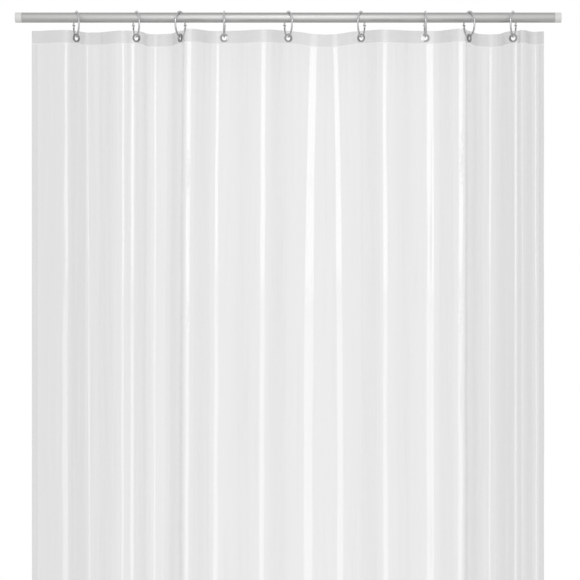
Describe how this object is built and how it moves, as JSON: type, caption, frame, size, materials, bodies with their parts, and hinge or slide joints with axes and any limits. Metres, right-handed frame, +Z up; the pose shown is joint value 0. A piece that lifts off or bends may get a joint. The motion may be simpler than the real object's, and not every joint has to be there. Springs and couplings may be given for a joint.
{
  "type": "shower curtain",
  "caption": "Clear film shower curtain hung by hinged wire rings and metal grommets from a round metal rod.",
  "frame": {"origin": "centre of the rod's left end face, which bears on the wall", "axes": "+X along the rod to the right, +Y away from the viewer, +Z up"},
  "size_m": [1.07, 0.101, 2.0398],
  "materials": {
    "rod_metal": "satin",
    "white_plastic": "matte",
    "ring_wire": "polished",
    "grommet_metal": "polished",
    "clear_film": "clear, slightly hazy",
    "hem_film": "clear, slightly hazy"
  },
  "bodies": {
    "rod": {"rod_tube": "rod_metal", "left_end_plug": "white_plastic", "right_end_plug": "white_plastic"},
    "liner": {"liner_film": "clear_film", "top_band": "hem_film", "left_side_hem": "hem_film", "right_side_hem": "hem_film", "bottom_hem": "hem_film"},
    "ring_1": {"ring_1_hook": "ring_wire", "ring_1_pin": "ring_wire"},
    "gate_1": {"ring_1_gate": "ring_wire"},
    "grommet_1": {"grommet_1_eyelet": "grommet_metal", "grommet_1_washer": "grommet_metal"},
    "ring_2": {"ring_2_hook": "ring_wire", "ring_2_pin": "ring_wire"},
    "gate_2": {"ring_2_gate": "ring_wire"},
    "grommet_2": {"grommet_2_eyelet": "grommet_metal", "grommet_2_washer": "grommet_metal"},
    "ring_3": {"ring_3_hook": "ring_wire", "ring_3_pin": "ring_wire"},
    "gate_3": {"ring_3_gate": "ring_wire"},
    "grommet_3": {"grommet_3_eyelet": "grommet_metal", "grommet_3_washer": "grommet_metal"},
    "ring_4": {"ring_4_hook": "ring_wire", "ring_4_pin": "ring_wire"},
    "gate_4": {"ring_4_gate": "ring_wire"},
    "grommet_4": {"grommet_4_eyelet": "grommet_metal", "grommet_4_washer": "grommet_metal"},
    "ring_5": {"ring_5_hook": "ring_wire", "ring_5_pin": "ring_wire"},
    "gate_5": {"ring_5_gate": "ring_wire"},
    "grommet_5": {"grommet_5_eyelet": "grommet_metal", "grommet_5_washer": "grommet_metal"},
    "ring_6": {"ring_6_hook": "ring_wire", "ring_6_pin": "ring_wire"},
    "gate_6": {"ring_6_gate": "ring_wire"},
    "grommet_6": {"grommet_6_eyelet": "grommet_metal", "grommet_6_washer": "grommet_metal"},
    "ring_7": {"ring_7_hook": "ring_wire", "ring_7_pin": "ring_wire"},
    "gate_7": {"ring_7_gate": "ring_wire"},
    "grommet_7": {"grommet_7_eyelet": "grommet_metal", "grommet_7_washer": "grommet_metal"},
    "ring_8": {"ring_8_hook": "ring_wire", "ring_8_pin": "ring_wire"},
    "gate_8": {"ring_8_gate": "ring_wire"},
    "grommet_8": {"grommet_8_eyelet": "grommet_metal", "grommet_8_washer": "grommet_metal"},
    "ring_9": {"ring_9_hook": "ring_wire", "ring_9_pin": "ring_wire"},
    "gate_9": {"ring_9_gate": "ring_wire"},
    "grommet_9": {"grommet_9_eyelet": "grommet_metal", "grommet_9_washer": "grommet_metal"}
  },
  "joints": [
    {"name": "curtain_swing", "type": "hinge", "parent": "rod", "child": "liner", "pos_m": [0, 0, 0], "axis": [1, 0, 0], "range_deg": [-20, 20]},
    {"name": "curtain_draw", "type": "slide", "parent": "liner", "child": "ring_9", "axis": [1, 0, 0], "range_m": [-0.4719, 0], "deforming": ["liner_film", "top_band", "left_side_hem", "right_side_hem", "bottom_hem"]},
    {"name": "ring_1_slide", "type": "slide", "parent": "liner", "child": "ring_1", "axis": [1, 0, 0], "range_m": [-0.04365, 0]},
    {"name": "ring_2_slide", "type": "slide", "parent": "liner", "child": "ring_2", "axis": [1, 0, 0], "range_m": [-0.10245, 0]},
    {"name": "ring_3_slide", "type": "slide", "parent": "liner", "child": "ring_3", "axis": [1, 0, 0], "range_m": [-0.14558, 0]},
    {"name": "ring_4_slide", "type": "slide", "parent": "liner", "child": "ring_4", "axis": [1, 0, 0], "range_m": [-0.1887, 0]},
    {"name": "ring_5_slide", "type": "slide", "parent": "liner", "child": "ring_5", "axis": [1, 0, 0], "range_m": [-0.2514, 0]},
    {"name": "ring_6_slide", "type": "slide", "parent": "liner", "child": "ring_6", "axis": [1, 0, 0], "range_m": [-0.32295, 0]},
    {"name": "ring_7_slide", "type": "slide", "parent": "liner", "child": "ring_7", "axis": [1, 0, 0], "range_m": [-0.38565, 0]},
    {"name": "ring_8_slide", "type": "slide", "parent": "liner", "child": "ring_8", "axis": [1, 0, 0], "range_m": [-0.42878, 0]},
    {"name": "grommet_1_turn", "type": "hinge", "parent": "ring_1", "child": "grommet_1", "pos_m": [0.1196, 0, -0.0399], "axis": [0, 0, 1], "range_deg": [0, 17.5]},
    {"name": "grommet_2_turn", "type": "hinge", "parent": "ring_2", "child": "grommet_2", "pos_m": [0.2372, 0, -0.0399], "axis": [0, 0, 1], "range_deg": [0, 19]},
    {"name": "grommet_3_turn", "type": "hinge", "parent": "ring_3", "child": "grommet_3", "pos_m": [0.32345, 0, -0.0399], "axis": [0, 0, 1], "range_deg": [-7.5, 0]},
    {"name": "grommet_4_turn", "type": "hinge", "parent": "ring_4", "child": "grommet_4", "pos_m": [0.4097, 0, -0.0399], "axis": [0, 0, 1], "range_deg": [-7.7, 0]},
    {"name": "grommet_5_turn", "type": "hinge", "parent": "ring_5", "child": "grommet_5", "pos_m": [0.5351, 0, -0.0399], "axis": [0, 0, 1], "range_deg": [0, 19.4]},
    {"name": "grommet_6_turn", "type": "hinge", "parent": "ring_6", "child": "grommet_6", "pos_m": [0.6782, 0, -0.0399], "axis": [0, 0, 1], "range_deg": [-19.4, 0]},
    {"name": "grommet_7_turn", "type": "hinge", "parent": "ring_7", "child": "grommet_7", "pos_m": [0.8036, 0, -0.0399], "axis": [0, 0, 1], "range_deg": [0, 7.7]},
    {"name": "grommet_8_turn", "type": "hinge", "parent": "ring_8", "child": "grommet_8", "pos_m": [0.88985, 0, -0.0399], "axis": [0, 0, 1], "range_deg": [0, 7.5]},
    {"name": "grommet_9_turn", "type": "hinge", "parent": "ring_9", "child": "grommet_9", "pos_m": [0.9761, 0, -0.0399], "axis": [0, 0, 1], "range_deg": [-19, 0]},
    {"name": "ring_1_gate_open", "type": "hinge", "parent": "ring_1", "child": "gate_1", "pos_m": [0.11229, 0.02391, -0.0129], "axis": [-0.9563, -0.2924, 0], "range_deg": [0, 45]},
    {"name": "ring_2_gate_open", "type": "hinge", "parent": "ring_2", "child": "gate_2", "pos_m": [0.22989, 0.02391, -0.0129], "axis": [-0.9563, -0.2924, 0], "range_deg": [0, 45]},
    {"name": "ring_3_gate_open", "type": "hinge", "parent": "ring_3", "child": "gate_3", "pos_m": [0.332, 0.02349, -0.0129], "axis": [-0.9397, 0.342, 0], "range_deg": [0, 45]},
    {"name": "ring_4_gate_open", "type": "hinge", "parent": "ring_4", "child": "gate_4", "pos_m": [0.4097, 0.025, -0.0129], "axis": [-1, 0, 0], "range_deg": [0, 45]},
    {"name": "ring_5_gate_open", "type": "hinge", "parent": "ring_5", "child": "gate_5", "pos_m": [0.52779, 0.02391, -0.0129], "axis": [-0.9563, -0.2924, 0], "range_deg": [0, 45]},
    {"name": "ring_6_gate_open", "type": "hinge", "parent": "ring_6", "child": "gate_6", "pos_m": [0.68551, 0.02391, -0.0129], "axis": [-0.9563, 0.2924, 0], "range_deg": [0, 45]},
    {"name": "ring_7_gate_open", "type": "hinge", "parent": "ring_7", "child": "gate_7", "pos_m": [0.8036, 0.025, -0.0129], "axis": [-1, 0, 0], "range_deg": [0, 45]},
    {"name": "ring_8_gate_open", "type": "hinge", "parent": "ring_8", "child": "gate_8", "pos_m": [0.8813, 0.02349, -0.0129], "axis": [-0.9397, -0.342, 0], "range_deg": [0, 45]},
    {"name": "ring_9_gate_open", "type": "hinge", "parent": "ring_9", "child": "gate_9", "pos_m": [0.98341, 0.02391, -0.0129], "axis": [-0.9563, 0.2924, 0], "range_deg": [0, 45]}
  ],
  "couplings": [
    {"joint": "ring_1_slide", "follows": "curtain_draw", "ratio": 0.092498},
    {"joint": "ring_2_slide", "follows": "curtain_draw", "ratio": 0.2171},
    {"joint": "ring_3_slide", "follows": "curtain_draw", "ratio": 0.30849},
    {"joint": "ring_4_slide", "follows": "curtain_draw", "ratio": 0.39987},
    {"joint": "ring_5_slide", "follows": "curtain_draw", "ratio": 0.53274},
    {"joint": "ring_6_slide", "follows": "curtain_draw", "ratio": 0.68436},
    {"joint": "ring_7_slide", "follows": "curtain_draw", "ratio": 0.81723},
    {"joint": "ring_8_slide", "follows": "curtain_draw", "ratio": 0.90861},
    {"joint": "grommet_1_turn", "follows": "curtain_draw", "rad_per_m": -0.64724},
    {"joint": "grommet_2_turn", "follows": "curtain_draw", "rad_per_m": -0.70272},
    {"joint": "grommet_3_turn", "follows": "curtain_draw", "rad_per_m": 0.27739},
    {"joint": "grommet_4_turn", "follows": "curtain_draw", "rad_per_m": 0.28479},
    {"joint": "grommet_5_turn", "follows": "curtain_draw", "rad_per_m": -0.71751},
    {"joint": "grommet_6_turn", "follows": "curtain_draw", "rad_per_m": 0.71751},
    {"joint": "grommet_7_turn", "follows": "curtain_draw", "rad_per_m": -0.28479},
    {"joint": "grommet_8_turn", "follows": "curtain_draw", "rad_per_m": -0.27739},
    {"joint": "grommet_9_turn", "follows": "curtain_draw", "rad_per_m": 0.70272}
  ]
}
